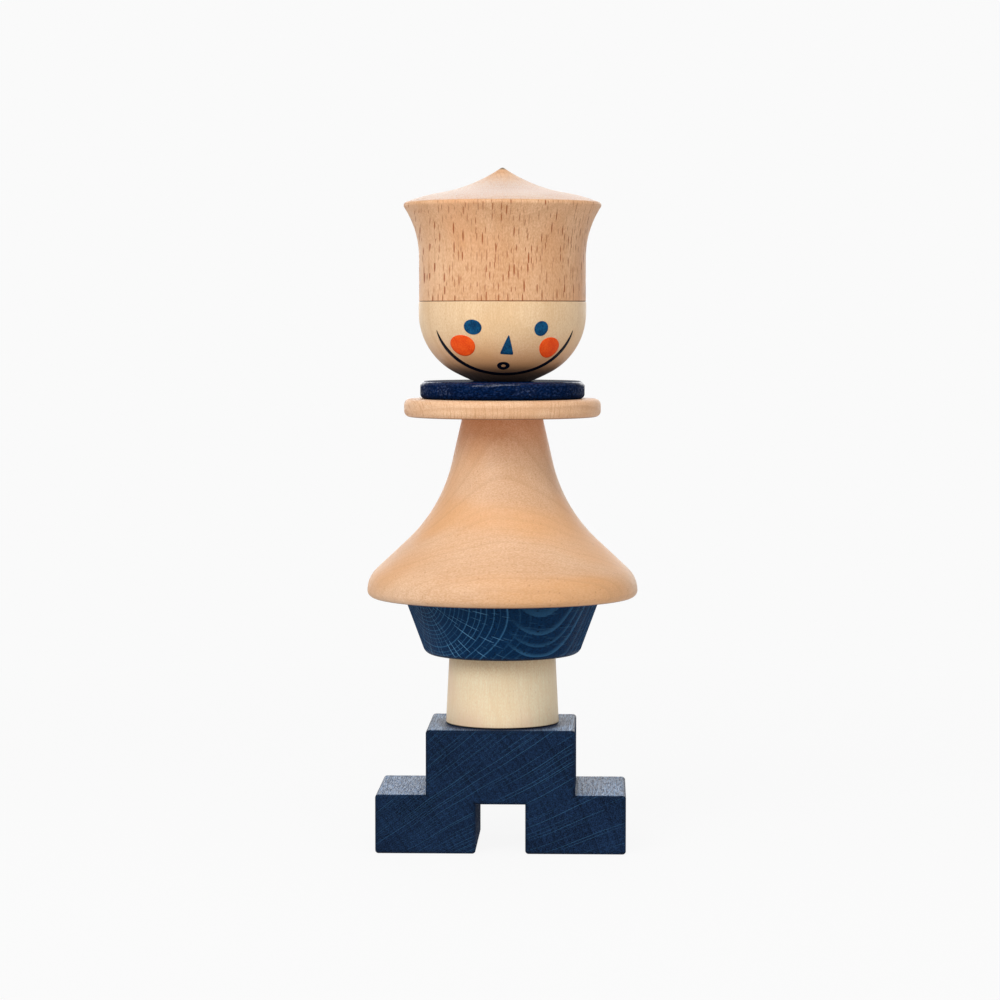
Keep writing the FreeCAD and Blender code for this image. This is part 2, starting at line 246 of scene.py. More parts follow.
# How far a surface faces up, or sideways for the sawn faces, where each of these begins and is at its
# full. Below 0 it faces down. The painted seam shade stops where the surface is flat.
TOP_FACING, TIP_FACING, UNDER_FACING = (0.84, 0.97), (0.0, 0.3), (-0.2, -0.95)
SEAM_STOPS, SAWN_FACING = (-0.9999, -0.998), (0.8, 0.95)
RING_SHADE = 0.7  # how much a ring holds back the painted top highlight
SHELTER_EDGE = 1.25  # the painted top highlight is at its full this many times as far out as it begins
TIP_CORE, FOOT_SHADE_CORE = 0.3, 0.4  # the share of the rubbed point and of the painted shade line that is full
SPECKLED = (0.6, 1.0)  # the strength of the painted neck shade and of the darker edges between the specks and in them
EDGE_TURN = (0.995, 0.9)  # the cosine of how far the normal turns over an edge
# How the figure changes the gloss, and how far it stands up or lies deep in the relief.
FIBRE_GLOSS, SPECK_GLOSS, PORE_DULLNESS = 0.12, 0.1, 0.4
FIBRE_RISE, SPECK_RISE, PORE_DEPTH, RAY_DEPTH = 0.5, 0.7, 0.9, 0.35
# Lacquer: how far up a surface faces where it begins and is at its full, on a rounded edge, on the wall
# and coming from a flat, which has least of it. Then what specks do to it on an edge and on the wall.
THIN_LACQUER = 0.05
LACQUER_EDGE, LACQUER_WALL, LACQUER_OFF_FLAT = (0.1, 0.5), (-0.3, 0.0), (0.98, 0.9)
EDGE_SPECKLED, WALL_FLECKS, WALL_FLECK_STRENGTH = (1.0, 0.2), (0.35, 0.0), 0.6


def direction_along(vector, other):
    """The part of a direction that is square to another one."""
    return (Vector(vector) - other * Vector(vector).dot(other)).normalized()


def grain_space(n, middle, cut, wobble):
    """Where a point lies in the tree, in mm: round the pith, along the grain and out from the pith."""
    grain = Vector(cut.grain).normalized()
    outward = direction_along(cut.outward, grain)
    pith = middle - outward * cut.pith_distance_mm * MM
    place = n.add("ShaderNodeTexCoord").outputs["Object"]
    place = n.vector_math("SUBTRACT", place, tuple(pith))
    place = n.vector_math("DIVIDE", place, (MM, MM, MM))
    along = n.vector_math("DOT_PRODUCT", place, tuple(grain))
    out = n.vector_math("DOT_PRODUCT", place, tuple(outward))
    side = n.vector_math("DOT_PRODUCT", place, tuple(grain.cross(outward)))
    flow = n.combine(out, side, n.times(along, FLOW_ALONG_GRAIN))
    bend = n.noise(flow, 1.0, BEND_NOISE_SCALE, colour=True)
    bend = n.vector_math("MULTIPLY", n.vector_math("SUBTRACT", bend, (0.5, 0.5, 0.5)), (2 * wobble,) * 3)
    bend = n.separate(bend)
    out = n.math("ADD", out, bend[0])
    side = n.math("ADD", side, bend[1])
    radius = n.vector_math("LENGTH", n.combine(out, side, 0.0))
    around = n.times(n.math("ARCTAN2", side, out), max(cut.pith_distance_mm, LEAST_BEND_RADIUS_MM))
    return around, along, radius


def growth_rings(n, radius, gap, start):
    """A thin line at the outer edge of every year's growth, some years stronger than others."""
    year = n.math("DIVIDE", radius, gap)
    variation = n.noise(n.combine(year, 0.0, 0.0), 0.0, YEAR_NOISE_SCALE)
    year = n.math("ADD", year, n.times(variation, YEAR_VARIATION))
    growth = n.math("FRACT", year)
    line = n.times(n.step(growth, start, RING_FULL), n.step(growth, 1.0, RING_ENDS))
    luck = n.add("ShaderNodeTexWhiteNoise", {"W": n.math("FLOOR", year)}, noise_dimensions="1D")
    return n.times(line, n.between(luck.outputs[0], FAINTEST_YEAR, 1.0))


def spindles(n, place, size, spacing, share):
    """Scattered flat spindles that stand along the grain, one in each cell of a jittered grid."""
    cells = n.vector_math("DIVIDE", n.combine(*place), spacing)
    inputs = {"Vector": cells, "Scale": 1.0, "Randomness": SPINDLE_JITTER}
    nearest = n.add("ShaderNodeTexVoronoi", inputs)
    offset = n.vector_math("SUBTRACT", cells, nearest.outputs["Position"])
    luck = n.separate(nearest.outputs["Color"])
    scale = tuple(gap / half for gap, half in zip(spacing, size))
    shape = n.vector_math("LENGTH", n.vector_math("MULTIPLY", offset, scale))
    inside = n.step(n.math("DIVIDE", shape, n.between(luck[0], *SPINDLE_SIZES)), 1.0, SPINDLE_CORE)
    present = n.step(luck[1], 1 - share, 1.05 - share)
    strength = n.math("MULTIPLY", present, n.math("ADD", luck[2], FAINTEST_SPINDLE), clamp=True)
    return n.times(inside, strength)


def stretched_noise(n, place, across, along, detail=3.0):
    """Noise with features of one width across the grain and a length along it, in mm."""
    return n.noise(n.vector_math("DIVIDE", n.combine(*place), (across, along, across)), detail)


def crossing_rings(n, middle, rings, wood, cut, fade_towards):
    """Lets the rings give way, towards one side of the piece, to those of a crossing growth."""
    radius = grain_space(n, middle, cut, wood.wobble)[2]
    place = n.vector_math("SUBTRACT", n.add("ShaderNodeTexCoord").outputs["Object"], tuple(middle))
    side = n.vector_math("DOT_PRODUCT", place, fade_towards)
    side = n.math("DIVIDE", side, MM)
    own = n.times(rings, n.step(side, *OWN_RINGS_MM))
    other = growth_rings(n, radius, wood.ring_gap * CROSSING_GAP, wood.ring_start - CROSSING_EARLIER)
    other = n.times(other, n.step(side, *CROSSING_RINGS_MM), CROSSING_STRENGTH)
    return n.math("MAXIMUM", own, other)


def figure_of(n, middle, wood, cut, crossing):
    """Lays out the rings, rays, pores, fibres, specks and clouds of one piece."""
    place = grain_space(n, middle, cut, wood.wobble)
    rings = growth_rings(n, place[2], wood.ring_gap, wood.ring_start)
    if crossing:
        rings = crossing_rings(n, middle, rings, wood, crossing, cut.grain)
    facing = n.add("ShaderNodeTexCoord").outputs["Normal"]
    end_grain = n.vector_math("DOT_PRODUCT", facing, tuple(Vector(cut.grain).normalized()))
    end_grain = n.step(n.math("ABSOLUTE", end_grain), *END_GRAIN_FACING)
    rays = spindles(n, place, wood.ray_size, wood.ray_spacing, RAY_SHARE)
    return Figure(
        rings=rings,
        rays=n.times(rays, n.between(end_grain, wood.side_rays, wood.end_rays)),
        pores=spindles(n, place, wood.pore_size, wood.pore_spacing, PORE_SHARE),
        fibre=stretched_noise(n, place, *FIBRE_SIZE),
        speck=n.step(stretched_noise(n, place, *wood.speck_size, 2.0), *SPECK_LEVELS),
        clouds=n.step(stretched_noise(n, place, *CLOUD_SIZE), *CLOUD_LEVELS),
        glow=n.step(stretched_noise(n, place, *GLOW_SIZE, 1.0), *GLOW_LEVELS),
    )


def spot_of(n, low, high):
    """Where each point of a piece is, given the corners of the piece's box."""
    coordinates = n.add("ShaderNodeTexCoord").outputs
    facing = n.separate(coordinates["Normal"])
    place = coordinates["Object"]
    height = n.separate(place)[2]
    return Spot(
        faces_up=facing[2],
        faces_sideways=n.math("ABSOLUTE", facing[0]),
        off_axis=n.vector_math("LENGTH", n.vector_math("MULTIPLY", place, (1, 1, 0))),
        over_bottom=n.math("SUBTRACT", height, low.z),
        under_top=n.math("SUBTRACT", high.z, height),
    )


def grown_colour(n, wood, figure):
    """The colour the tree gave the wood, and the stain that sank into it."""
    clouds = n.times(figure.clouds, 1 - wood.speck_strength)
    tone = n.math("ADD", clouds, n.times(figure.speck, wood.speck_strength))
    colour = n.mix(tone, wood.pale, wood.deep)
    layers = (
        (figure.glow, wood.warm_strength, wood.warm_colour),
        (n.step(figure.fibre, *STREAK_LEVELS), wood.streak_strength, wood.deep),
        (figure.rings, wood.ring_strength, wood.ring_colour),
        (figure.pores, wood.pore_strength, wood.pore_colour),
        (figure.rays, 1.0, wood.ray_colour),
    )
    for where, strength, layer in layers:
        colour = n.mix(n.times(where, strength), colour, layer)
    return colour


def painted_top_highlight(n, wood, figure, spot):
    """A painted highlight on upward faces, less in fibres and rings, kept off near the axis by a painted
    shadow.
    """
    fibres = n.step(figure.fibre, *FIBRE_LEVELS)
    dark_spots = n.math("MAXIMUM", fibres, n.times(figure.rings, RING_SHADE))
    top = n.times(n.step(spot.faces_up, *TOP_FACING), n.between(dark_spots, 1.0, wood.top_highlight_evenness))
    if not wood.top_shadow_reach:
        return top
    shelter = wood.top_shadow_reach * MM
    return n.times(top, n.step(spot.off_axis, shelter, SHELTER_EDGE * shelter))


def rubbed_tip(n, wood, figure, spot):
    """The point that the piece ends in."""
    point = wood.tip_size * MM
    near = n.step(spot.off_axis, point, TIP_CORE * point)
    return n.times(near, n.step(spot.faces_up, *TIP_FACING))


def painted_under_shade(n, wood, figure, spot):
    """Painted shade wherever the piece faces down."""
    return n.step(spot.faces_up, *UNDER_FACING)


def painted_seam_shade(n, wood, figure, spot):
    """Painted shade on the rounded edge beside the flat bottom, but not on the flat."""
    return n.times(n.step(spot.faces_up, *wood.seam_shade_reach), n.step(spot.faces_up, *SEAM_STOPS))


def painted_foot_shade(n, wood, figure, spot):
    """A painted shade line low on the wall, all round the piece."""
    line = wood.foot_shade_height * MM
    return n.step(spot.over_bottom, line, FOOT_SHADE_CORE * line)


def painted_neck_shade(n, wood, figure, spot):
    """Painted shade on the wall from the top down, less and less."""
    shade = n.step(spot.under_top, wood.neck_shade_depth * MM, 0.0)
    return n.times(shade, n.between(figure.speck, *SPECKLED))


def darker_edges(n, wood, figure, spot):
    """The eased edges of a piece: there, the normal turns within a short reach."""
    rounded = n.add("ShaderNodeBevel", {"Radius": wood.edge_reach * MM}, samples=4).outputs[0]
    normal = n.add("ShaderNodeNewGeometry").outputs["Normal"]
    edge = n.step(n.vector_math("DOT_PRODUCT", rounded, normal), *EDGE_TURN)
    return n.times(edge, n.between(figure.speck, *SPECKLED))


def painted_light_and_wear(n, wood, figure, spot, colour):
    """Painted highlight and shade laid over the colour, with the point rubbed by fingers and darker edges.
    """
    layers = (
        (painted_top_highlight, wood.top_highlight_strength, wood.top_highlight_colour),
        (rubbed_tip, wood.tip_strength, wood.tip_colour),
        (painted_under_shade, wood.under_shade_strength, wood.under_shade_colour),
        (painted_seam_shade, wood.seam_shade_strength, wood.seam_shade_colour),
        (painted_foot_shade, wood.foot_shade_line, wood.seam_shade_colour),
        (painted_neck_shade, wood.neck_shade_strength, wood.neck_shade_colour),
        (darker_edges, wood.edge_strength, wood.edge_colour),
    )
    for where, strength, layer in layers:
        if strength:
            colour = n.mix(n.times(where(n, wood, figure, spot), strength), colour, layer)
    return colour


def wood_roughness(n, wood, figure, spot):
    """Fibres and specks vary the gloss, and pores and sawn faces are dull."""
    rough = n.between(figure.fibre, wood.roughness - FIBRE_GLOSS, wood.roughness + FIBRE_GLOSS)
    rough = n.math("ADD", rough, n.between(figure.speck, SPECK_GLOSS, -SPECK_GLOSS))
    sawn = n.step(spot.faces_sideways, *SAWN_FACING)
    rough = n.math("ADD", rough, n.times(sawn, wood.sawn_roughness))
    return n.math("ADD", rough, n.times(figure.pores, PORE_DULLNESS), clamp=True)


def wood_relief(n, wood, figure):
    """Fibres and specks stand up, pores and rays lie lower."""
    height = n.math("ADD", n.times(figure.fibre, FIBRE_RISE), n.times(figure.speck, SPECK_RISE))
    height = n.math("SUBTRACT", height, n.times(figure.pores, PORE_DEPTH))
    height = n.math("SUBTRACT", height, n.times(figure.rays, RAY_DEPTH))
    return n.bump(height, wood.relief)


def lacquer(n, wood, figure, spot):
    """A clear coat that lies thick on rounded edges, in flecks on the wall and thin on the flats."""
    if not wood.coat:
        return 0.0
    up = spot.faces_up
    on_edge = n.times(n.step(up, *LACQUER_EDGE), n.between(figure.speck, *EDGE_SPECKLED))
    flecks = n.step(figure.speck, *WALL_FLECKS)
    on_wall = n.times(flecks, n.step(up, *LACQUER_WALL), WALL_FLECK_STRENGTH)
    thickness = n.times(n.math("MAXIMUM", on_edge, on_wall), n.step(up, *LACQUER_OFF_FLAT))
    return n.between(thickness, THIN_LACQUER, wood.coat)


def wood_material(node, wood, cut, crossing=None):
    """The wood of one piece, at its own place in the tree, named after the piece."""
    low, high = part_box(node)
    n = Nodes(bpy.data.materials.new(node))
    figure = figure_of(n, (low + high) / 2, wood, cut, crossing)
    spot = spot_of(n, low, high)
    return n.finish(
        Base_Color=painted_light_and_wear(n, wood, figure, spot, grown_colour(n, wood, figure)),
        Roughness=wood_roughness(n, wood, figure, spot),
        Specular_IOR_Level=wood.specular,
        Normal=wood_relief(n, wood, figure),
        Coat_Weight=lacquer(n, wood, figure, spot),
        Coat_Roughness=wood.coat_roughness,
        Sheen_Weight=wood.sheen,
        Sheen_Tint=wood.sheen_tint,
    )


BEECH = Wood(
    pale=srgb(244, 200, 158),
    deep=srgb(212, 154, 106),
    ring_colour=srgb(196, 138, 92),
    ray_colour=srgb(160, 78, 14),
    pore_colour=srgb(184, 112, 62),
    warm_colour=srgb(232, 164, 112),
    warm_strength=0.4,
    # Painted highlight on the roof of the hat, where it faces up.
    top_highlight_colour=srgb(238, 224, 216),
    top_highlight_strength=0.9,
    top_highlight_evenness=0.4,
    tip_colour=srgb(112, 104, 88),
    tip_strength=1.0,
    tip_size=1.3,
    # Painted shade on the rounded edge beside the flat bottom.
    seam_shade_colour=srgb(96, 44, 16),
    seam_shade_strength=0.8,
    seam_shade_reach=(-0.78, -0.95),
    # Painted shade as a thin line low on the wall of the hat.
    foot_shade_line=0.8,
    foot_shade_height=0.28,
    edge_colour=srgb(140, 80, 46),
    edge_strength=0.45,
    side_rays=0.95,
    ray_size=(0.17, 1.55, 2.2),
    ray_spacing=(0.98, 2.3, 3.3),
    pore_size=(0.06, 0.8, 0.06),
    pore_strength=0.7,
)
DISC_BEECH = replace(
    BEECH,
    pale=srgb(246, 206, 168),
    deep=srgb(222, 168, 122),
    ray_colour=srgb(198, 136, 88),
    warm_strength=0.0,
    top_highlight_strength=0.0,
    tip_strength=0.0,
    foot_shade_line=0.0,
    edge_strength=0.0,
    pore_strength=0.4,
    ray_size=(0.11, 1.4, 4.5),
    ray_spacing=(0.5, 2.2, 6.5),
    side_rays=0.6,
    end_rays=0.6,
)
FINE_BEECH = replace(
    BEECH,
    pale=srgb(240, 201, 166),
    deep=srgb(216, 166, 122),
    ring_colour=srgb(190, 136, 90),
    warm_colour=srgb(234, 168, 102),
    warm_strength=0.5,
    top_highlight_strength=0.0,
    tip_strength=0.0,
    foot_shade_line=0.0,
    edge_strength=0.0,
    ring_gap=1.5,
    ring_strength=0.2,
    side_rays=0.3,
    ray_size=(0.07, 0.24, 2.0),
    ray_spacing=(0.8, 1.6, 4.0),
    pore_size=(0.05, 0.5, 0.05),
    pore_strength=0.3,
    speck_size=(0.2, 0.28),
    speck_strength=0.6,
    streak_strength=0.15,
)
SKIRT_BEECH = replace(
    FINE_BEECH,
    # Painted shade on the skirt's neck, under the shoulder disc.
    neck_shade_colour=srgb(198, 122, 72),
    neck_shade_strength=0.6,
    neck_shade_depth=13.0,
)
MAPLE = Wood(
    pale=srgb(248, 218, 178),
    deep=srgb(228, 188, 142),
    ring_colour=srgb(212, 168, 116),
    ray_colour=srgb(196, 144, 94),
    pore_colour=srgb(210, 168, 120),
    warm_colour=srgb(244, 196, 138),
    warm_strength=0.6,
    # Painted shade, warm and dark, where the head faces down.
    under_shade_colour=srgb(206, 128, 72),
    under_shade_strength=0.7,
    # Painted shade, near black, on the chin beside the head's seat.
    seam_shade_colour=srgb(26, 14, 12),
    seam_shade_strength=0.95,
    seam_shade_reach=(-0.71, -0.97),
    ring_gap=4.0,
    ring_strength=0.3,
    side_rays=0.4,
    ray_size=(0.06, 0.35, 1.5),
    ray_spacing=(0.7, 1.6, 4.0),
    pore_strength=0.35,
    speck_size=(0.2, 0.5),
    speck_strength=0.6,
    streak_strength=0.5,
    roughness=0.45,
    relief=0.015,
)
PALE_MAPLE = replace(
    MAPLE,
    pale=srgb(255, 240, 206),
    deep=srgb(248, 220, 178),
    ring_colour=srgb(228, 192, 146),
    ray_colour=srgb(214, 172, 126),
    pore_colour=srgb(222, 186, 142),
    warm_colour=srgb(250, 210, 178),
    under_shade_strength=0.0,
    # Painted shade on the leg's rounded bottom edge.
    seam_shade_colour=srgb(24, 14, 12),
    seam_shade_reach=(0.0, -0.6),
    # Painted shade as a thin line low on the wall of the leg.
    foot_shade_line=0.95,
    foot_shade_height=0.5,
    # Painted shade at the top of the leg, under the hip bowl.
    neck_shade_colour=srgb(206, 160, 106),
    neck_shade_strength=0.6,
    neck_shade_depth=6.5,
    ring_gap=1.6,
    ring_strength=0.16,
    streak_strength=0.7,
    speck_strength=0.65,
)
BLUE_STAIN = Wood(
    pale=srgb(32, 58, 94),
    deep=srgb(8, 18, 34),
    ring_colour=srgb(6, 14, 28),
    ray_colour=srgb(66, 116, 152),
    pore_colour=srgb(4, 8, 18),
    # Painted highlight on the top faces of the feet, with a painted shadow round the leg.
    top_highlight_colour=srgb(122, 156, 198),
    top_highlight_strength=0.8,
    top_highlight_evenness=0.15,
    top_shadow_reach=14.6,
    # Painted shade on the rounded edges beside the flat bottoms.
    seam_shade_colour=srgb(4, 6, 12),
    seam_shade_strength=0.8,
    edge_colour=srgb(2, 5, 12),
    edge_strength=0.95,
    edge_reach=1.3,
    ring_gap=1.7,
    ring_strength=0.45,
    ring_start=0.35,
    side_rays=0.15,
    end_rays=0.55,
    ray_size=(0.055, 1.6, 15.0),
    ray_spacing=(0.75, 2.4, 22.0),
    pore_strength=0.8,
    pore_size=(0.11, 0.5, 0.11),
    pore_spacing=(0.36, 1.1, 0.4),
    speck_size=(0.22, 0.6),
    speck_strength=0.75,
    streak_strength=0.3,
    wobble=1.0,
    roughness=0.42,
    sawn_roughness=0.5,
    specular=0.04,
    sheen=0.05,
    sheen_tint=srgb(150, 186, 255),
    relief=0.07,
)
HIP_STAIN = replace(
    BLUE_STAIN,
    pale=srgb(12, 54, 94),
    deep=srgb(4, 34, 64),
    ring_colour=srgb(64, 118, 160),
    ray_colour=srgb(96, 150, 190),
    top_highlight_strength=0.0,
    ring_gap=1.05,
    ring_strength=0.75,
    ring_start=0.72,
    end_rays=0.95,
    ray_size=(0.08, 2.0, 9.0),
    ray_spacing=(1.1, 2.8, 11.0),
    wobble=0.8,
)
NAVY_LACQUER = replace(
    BLUE_STAIN,
    pale=srgb(8, 40, 86),
    deep=srgb(0, 14, 44),
    ring_strength=0.1,
    side_rays=0.0,
    end_rays=0.0,
    top_highlight_strength=0.0,
    speck_size=(0.45, 0.7),
    roughness=0.35,
    specular=0.0,
    coat=0.9,
    coat_roughness=0.12,
    sheen=0.0,
    relief=0.2,
)

UP, RIGHT, DOWN, BACK = (0, 0, 1), (1, 0, 0), (0, 0, -1), (0, 1, 0)


def around_axis(azimuth_deg, rise=0.0):
    """A direction given by its turn from the front towards the right, and its rise."""
    turn = math.radians(azimuth_deg)
    return (math.sin(turn), -math.cos(turn), rise)


# A second growth crosses the hip bowl's own.
HIP_CROSSING = Cut(around_axis(-63, 0.3), around_axis(207), 90)
# Every wooden node: its wood, how it was cut and, where there is one, a crossing growth.
WOODWORK = {
    "feet_block": (BLUE_STAIN, Cut(BACK, (0.86, 0, 0.5), 90)),
    "leg_cone": (PALE_MAPLE, Cut(UP, around_axis(-30), 60)),
    "hip_bowl": (HIP_STAIN, Cut(around_axis(-52), DOWN, 10), HIP_CROSSING),
    "skirt": (SKIRT_BEECH, Cut(UP, around_axis(10), 15)),
    "shoulder_disc": (DISC_BEECH, Cut(around_axis(15), UP, 200)),
    "collar_disc": (NAVY_LACQUER, Cut(RIGHT, UP, 60)),
    "head": (MAPLE, Cut(UP, around_axis(20), 70)),
    "hat": (BEECH, Cut(UP, around_axis(10), 140)),
}
STAINED_PLUGS = {"feet": BLUE_STAIN, "hip": BLUE_STAIN, "collar": NAVY_LACQUER}
PLUG_PITH_DISTANCE_MM = 55
PLUG_TURN_STEP_DEG = 37


def plug_cut(node):
    """Plugs are cut across the board, each from its own place."""
    turn = PLUG_TURN_STEP_DEG * sum(ord(letter) for letter in node)
    return Cut(around_axis(turn), UP, PLUG_PITH_DISTANCE_MM)


def magnet_material():
    """Bright nickel plating with fine turning marks."""
    n = Nodes(bpy.data.materials.new("nickel"))
    place = n.add("ShaderNodeTexCoord").outputs["Object"]
    across = n.vector_math("MULTIPLY", place, (1, 1, 0))
    swirl = n.noise(n.combine(n.vector_math("LENGTH", across), 0.0, 0.0), 2.0, 9000.0)
    cloud = n.noise(place, 3.0, 400.0)
    return n.finish(
        Base_Color=n.mix(cloud, srgb(196, 194, 188), srgb(226, 226, 226)),
        Metallic=1.0,
        Roughness=n.between(cloud, 0.12, 0.32),
        Normal=n.bump(swirl, 0.004),
    )


def dress(piece, material):
    """Puts a material in every slot of a piece, and gives it one if it has none."""
    if not piece.data.materials:
        piece.data.materials.append(material)
    for slot in piece.material_slots:
        slot.link = "OBJECT"
        slot.material = material


def dress_wood_and_magnets():
    nickel = magnet_material()
    for node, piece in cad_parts.items():
        if node.endswith("_magnet"):
            dress(piece, nickel)
        elif node.endswith("_plug"):
            wood = STAINED_PLUGS.get(node.split("_")[0], FINE_BEECH)
            dress(piece, wood_material(node, wood, plug_cut(node)))
        else:
            dress(piece, wood_material(node, *WOODWORK[node]))


# ----------------------------------------------------------------------------------------- the face

FACE_TURN = 4.8  # degrees to the right of straight ahead: the head is turned a little
INK_PROUD_MM = 0.04
INK_FILM_MM = 0.08
SAME_POINT = 1e-7  # points of a film nearer than this, in metres, are one

# A round mark: azimuth from the middle of the face, height over the head's seat, half its width and
# height, and the angle its long axis rises at. Angles are in degrees, lengths in millimetres.
Mark = namedtuple("Mark", "azimuth height half_width half_height tilt")
LEFT_EYE = Mark(-23.7, 13.2, 2.26, 1.79, -6)
RIGHT_EYE = Mark(24.8, 12.85, 1.84, 1.78, 4)
LEFT_CHEEK = Mark(-34.4, 8.8, 3.45, 2.5, 5)
RIGHT_CHEEK = Mark(35.6, 8.3, 3.1, 2.35, -20)
MOUTH = Mark(-2.0, 3.95, 1.5, 0.94, 0)
MOUTH_HOLE_SHARE = 0.36
OUTLINE_POINTS, FILM_STEPS = 64, 8
# The nose: azimuth and height of its corners, the share of each side cut off at a corner, and how many
# points there are along the rest of a side.
NOSE_CORNERS = ((1.6, 11.5), (5.9, 6.6), (-5.0, 6.8))
NOSE_CORNER_CUT, NOSE_SIDE_POINTS = 0.06, 12
# The smile lies in an upright plane, this far in front of the head's axis. Seen from its centre, its
# ends are this far round from straight down.
SMILE_DEPTH_MM = 11.2
SMILE_END_DEG = 75.2
SMILE_CENTRE_HEIGHT_MM = 16.7
# Half its width at its ends, how much more there is in the middle, and the powers by which it tapers.
SMILE_END_HALF_WIDTH_MM, SMILE_SWELL_MM = 0.05, 0.54
SMILE_TAPER = (7, 0.8)
SMILE_LOWEST_MM = 0.3  # it comes no nearer to the seat
SMILE_FARTHEST_MM = 40.0  # more than the distance from its centre to any point of it
SMILE_POINTS = 96
SMILE_SEARCH_STEPS = 40


def head_surface():
    """Two functions that measure the head, at a height in mm over its seat.

    The first gives the point of its surface at an azimuth in the face, the second its radius in mm.
    """
    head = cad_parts["head"]
    low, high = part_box("head")
    middle = (low + high) / 2
    tree = BVHTree.FromPolygons([v.co for v in head.data.vertices], [p.vertices for p in head.data.polygons])
    reach = (high - low).length

    def on_axis(height):
        return Vector((middle.x, middle.y, low.z + height * MM))

    def at(azimuth, height):
        direction = Vector(around_axis(azimuth + FACE_TURN))
        return tree.ray_cast(on_axis(height) + direction * reach, -direction)[0]

    def radius(height):
        return (at(0, height) - on_axis(height)).length / MM

    return at, radius


def ink_film(name, rows, closed, material, at):
    """A thin film on the head. rows are lists of (azimuth, height), from one edge to the other.

    closed says that each row runs round and meets its own start. The slot takes the ink's name.
    """
    mesh = bpy.data.meshes.new(name)
    bm = bmesh.new()
    grid = [[bm.verts.new(at(*spot)) for spot in row] for row in rows]
    length = len(rows[0])
    for inner, outer in zip(grid, grid[1:]):
        for i in range(length if closed else length - 1):
            j = (i + 1) % length
            bm.faces.new((inner[i], inner[j], outer[j], outer[i]))
    bmesh.ops.remove_doubles(bm, verts=bm.verts, dist=SAME_POINT)
    bmesh.ops.recalc_face_normals(bm, faces=bm.faces)
    bm.normal_update()
    middle = sum((vertex.co for vertex in bm.verts), Vector()) / len(bm.verts)
    outward = Vector((middle.x, middle.y, 0))
    if sum(face.normal.dot(outward) * face.calc_area() for face in bm.faces) < 0:
        bmesh.ops.reverse_faces(bm, faces=bm.faces)
        bm.normal_update()
    for vertex in bm.verts:
        vertex.co += vertex.normal * INK_PROUD_MM * MM
    for face in bm.faces:
        face.smooth = True
    bm.to_mesh(mesh)
    bm.free()
    film = bpy.data.objects.new(name, mesh)
    bpy.context.scene.collection.objects.link(film)
    mesh.materials.append(material)
    solid = film.modifiers.new("film", "SOLIDIFY")
    solid.thickness = INK_FILM_MM * MM
    solid.offset = -1
    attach(film, "head")


def ring_of(mark, share, radius):
    """The mark's outline, shrunk to a share of its size, as azimuths and heights."""
    tilt = math.radians(mark.tilt)
    spots = []
    for i in range(OUTLINE_POINTS):
        turn = math.tau * i / OUTLINE_POINTS
        x = share * mark.half_width * math.cos(turn)
        z = share * mark.half_height * math.sin(turn)
        across = x * math.cos(tilt) - z * math.sin(tilt)
        rise = x * math.sin(tilt) + z * math.cos(tilt)
        spots.append((mark.azimuth + math.degrees(across / radius), mark.height + rise))
    return spots


def shares(start):
    """Even steps from a share of the full size to the whole."""
    return [start + (1 - start) * i / FILM_STEPS for i in range(FILM_STEPS + 1)]


def print_round(name, mark, material, at, radius, hole=0.0):
    """A filled ellipse, or a ring if there is a hole."""
    size = radius(mark.height)
    rows = [ring_of(mark, share, size) for share in shares(hole)]
    ink_film(name, rows, True, material, at)


def print_nose(material, at):
    """A slim triangle with its corners cut off a little."""
    corners = [Vector(corner) for corner in NOSE_CORNERS]
    middle = sum(corners, Vector((0, 0))) / 3
    outline = []
    for i, corner in enumerate(corners):
        following = corners[(i + 1) % 3]
        for k in range(NOSE_SIDE_POINTS):
            along = NOSE_CORNER_CUT + (1 - 2 * NOSE_CORNER_CUT) * k / (NOSE_SIDE_POINTS - 1)
            outline.append(corner.lerp(following, along))
    rows = [[tuple(middle.lerp(spot, share)) for spot in outline] for share in shares(0.0)]
    ink_film("nose", rows, True, material, at)


def smile_spot(turn, push, radius):
    """The azimuth and height where a line from the smile's centre leaves the head.

    turn is its angle from straight down, and push how far in front of the smile's plane it runs.
    """
    direction = Vector((math.sin(turn), -math.cos(turn)))
    ahead = SMILE_DEPTH_MM + push

    def place(reach):
        return direction.x * reach, SMILE_CENTRE_HEIGHT_MM + direction.y * reach

    near, far = 0.0, SMILE_FARTHEST_MM
    for _ in range(SMILE_SEARCH_STEPS):
        reach = (near + far) / 2
        x, height = place(reach)
        inside = height > SMILE_LOWEST_MM and math.hypot(x, ahead) < radius(max(height, SMILE_LOWEST_MM))
        near, far = (reach, far) if inside else (near, reach)
    x, height = place(near)
    return math.degrees(math.atan2(x, ahead)), height


def print_smile(material, at, radius):
    """A long thin curve: the head cut by an upright plane in front of its axis. It thins at its ends."""
    rows = []
    for side in (-1.0, -0.5, 0.0, 0.5, 1.0):
        row = []
        for i in range(SMILE_POINTS + 1):
            part = 2 * i / SMILE_POINTS - 1
            swell = SMILE_SWELL_MM * (1 - abs(part) ** SMILE_TAPER[0]) ** SMILE_TAPER[1]
            push = side * (swell + SMILE_END_HALF_WIDTH_MM)
            row.append(smile_spot(math.radians(SMILE_END_DEG) * part, push, radius))
        rows.append(row)
    ink_film("smile", rows, False, material, at)


